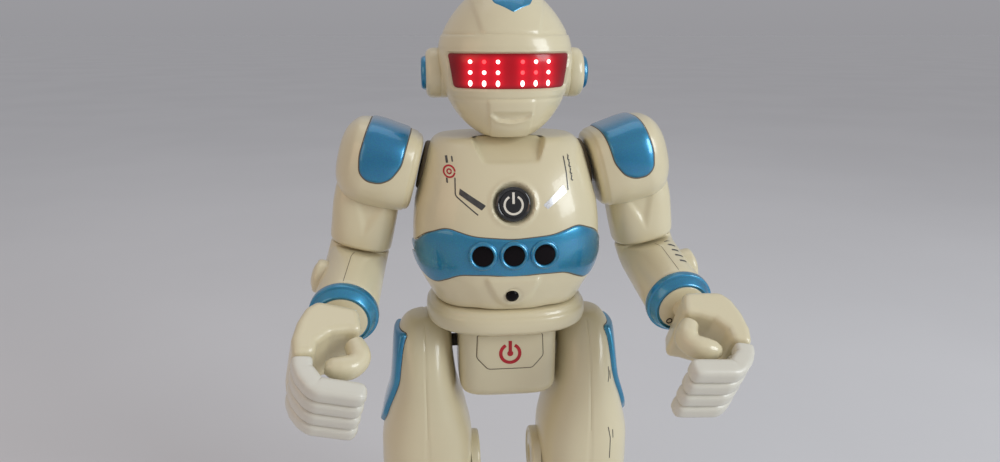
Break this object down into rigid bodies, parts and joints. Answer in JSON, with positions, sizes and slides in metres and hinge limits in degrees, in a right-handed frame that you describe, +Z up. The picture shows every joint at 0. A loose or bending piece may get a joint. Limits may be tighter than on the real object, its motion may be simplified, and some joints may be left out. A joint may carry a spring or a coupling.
{
  "type": "educational coding robot",
  "caption": "Small white and blue humanoid robot with a glowing visor, turning head, swinging arms with curled hands, stepping legs and wheels in its boots.",
  "frame": {"origin": "on the floor under the middle of the standing robot's outer box", "axes": "+Z up; -Y the way the robot faces; +X the robot's own left side"},
  "size_m": [0.152, 0.1054, 0.2695],
  "materials": {
    "cream": "glossy ivory moulded plastic",
    "pearl_blue": "glossy pearl blue paint on plastic",
    "black": "glossy black plastic",
    "visor_red": "clear red plastic, lit from behind",
    "board_green": "green circuit board",
    "battery_blue": "blue heat-shrink sleeve",
    "grey": "satin grey plastic",
    "steel": "bright drawn steel",
    "tyre": "matte black rubber"
  },
  "bodies": {
    "torso": {"chest_front_shell": "cream", "chest_back_shell": "cream", "chest_band": "pearl_blue", "sensor_lens_right": "black", "sensor_lens_middle": "black", "sensor_lens_left": "black", "ir_window": "black", "neck_collar": "cream", "neck_post": "grey", "battery_door": "cream", "battery_pack": "battery_blue", "main_board": "board_green", "speaker": "black", "charge_jack": "black", "waist_skirt": "cream", "pelvis_shell": "cream", "pelvis_plate": "cream", "hip_axle": "steel"},
    "button": {"power_button": "black"},
    "switch": {"power_switch": "black"},
    "head": {"face_shell": "cream", "head_back_shell": "cream", "visor": "visor_red", "led_board": "board_green", "crest_badge": "pearl_blue", "ear_drum_right": "cream", "ear_drum_left": "cream", "ear_disc_right": "pearl_blue", "ear_disc_left": "pearl_blue"},
    "arm_right": {"shoulder_pad_right": "cream", "shoulder_panel_right": "pearl_blue", "upper_arm_right": "cream"},
    "forearm_right": {"forearm_right": "cream", "elbow_cap_right": "cream", "cuff_ring_right": "pearl_blue"},
    "hand_right": {"palm_right": "cream", "thumb_right": "cream", "fingers_right": "cream"},
    "leg_right": {"thigh_right": "cream", "thigh_panel_right": "pearl_blue", "knee_disc_right": "cream", "shin_right": "cream"},
    "foot_right": {"boot_right": "cream"},
    "wheel_right": {"drive_wheel_right": "tyre"},
    "arm_left": {"shoulder_pad_left": "cream", "shoulder_panel_left": "pearl_blue", "upper_arm_left": "cream"},
    "forearm_left": {"forearm_left": "cream", "elbow_cap_left": "cream", "cuff_ring_left": "pearl_blue"},
    "hand_left": {"palm_left": "cream", "thumb_left": "cream", "fingers_left": "cream"},
    "leg_left": {"thigh_left": "cream", "thigh_panel_left": "pearl_blue", "knee_disc_left": "cream", "shin_left": "cream"},
    "foot_left": {"boot_left": "cream"},
    "wheel_left": {"drive_wheel_left": "tyre"}
  },
  "joints": [
    {"name": "neck_turn", "type": "hinge", "parent": "torso", "child": "head", "pos_m": [0.00124, 0.02624, 0.213], "axis": [0, 0, 1], "range_deg": [-35, 35]},
    {"name": "button_press", "type": "slide", "parent": "torso", "child": "button", "axis": [0, 0.9781, -0.2079], "range_m": [0, 0.001], "stiffness_N_per_m": 400, "springref_m": -0.0005},
    {"name": "switch_slide", "type": "slide", "parent": "torso", "child": "switch", "axis": [1, 0, 0], "range_m": [0, 0.003]},
    {"name": "shoulder_swing_right", "type": "hinge", "parent": "torso", "child": "arm_right", "pos_m": [-0.03126, 0.02624, 0.203], "axis": [0.9681, 0, -0.2504], "range_deg": [-95, 15]},
    {"name": "elbow_twist_right", "type": "hinge", "parent": "arm_right", "child": "forearm_right", "pos_m": [-0.05402, 0.02624, 0.17253], "axis": [0.2504, 0, 0.9681], "range_deg": [-35, 10]},
    {"name": "wrist_twist_right", "type": "hinge", "parent": "forearm_right", "child": "hand_right", "pos_m": [-0.05822, -0.0135, 0.15627], "axis": [-0.0648, -0.9659, -0.2506], "range_deg": [-30, 30]},
    {"name": "hip_swing_right", "type": "hinge", "parent": "torso", "child": "leg_right", "pos_m": [-0.03056, 0.02624, 0.131], "axis": [1, 0, 0], "range_deg": [-10, 10]},
    {"name": "ankle_right", "type": "hinge", "parent": "leg_right", "child": "foot_right", "pos_m": [-0.03056, 0.02624, 0.019], "axis": [1, 0, 0], "range_deg": [-10, 10]},
    {"name": "wheel_spin_right", "type": "hinge", "parent": "foot_right", "child": "wheel_right", "pos_m": [-0.03056, 0.03824, 0.0095], "axis": [1, 0, 0], "continuous": true},
    {"name": "shoulder_swing_left", "type": "hinge", "parent": "torso", "child": "arm_left", "pos_m": [0.03374, 0.02624, 0.203], "axis": [0.9681, 0, 0.2504], "range_deg": [-95, 15]},
    {"name": "elbow_twist_left", "type": "hinge", "parent": "arm_left", "child": "forearm_left", "pos_m": [0.05649, 0.02624, 0.17253], "axis": [-0.2504, 0, 0.9681], "range_deg": [-10, 35]},
    {"name": "wrist_twist_left", "type": "hinge", "parent": "forearm_left", "child": "hand_left", "pos_m": [0.0607, -0.0135, 0.15627], "axis": [0.0648, -0.9659, -0.2506], "range_deg": [-30, 30]},
    {"name": "hip_swing_left", "type": "hinge", "parent": "torso", "child": "leg_left", "pos_m": [0.03304, 0.02624, 0.131], "axis": [1, 0, 0], "range_deg": [-10, 10]},
    {"name": "ankle_left", "type": "hinge", "parent": "leg_left", "child": "foot_left", "pos_m": [0.03304, 0.02624, 0.019], "axis": [1, 0, 0], "range_deg": [-10, 10]},
    {"name": "wheel_spin_left", "type": "hinge", "parent": "foot_left", "child": "wheel_left", "pos_m": [0.03304, 0.03824, 0.0095], "axis": [1, 0, 0], "continuous": true}
  ],
  "couplings": [
    {"joint": "hip_swing_left", "follows": "hip_swing_right", "ratio": -1},
    {"joint": "ankle_right", "follows": "hip_swing_right", "ratio": -1},
    {"joint": "ankle_left", "follows": "hip_swing_right", "ratio": 1}
  ]
}
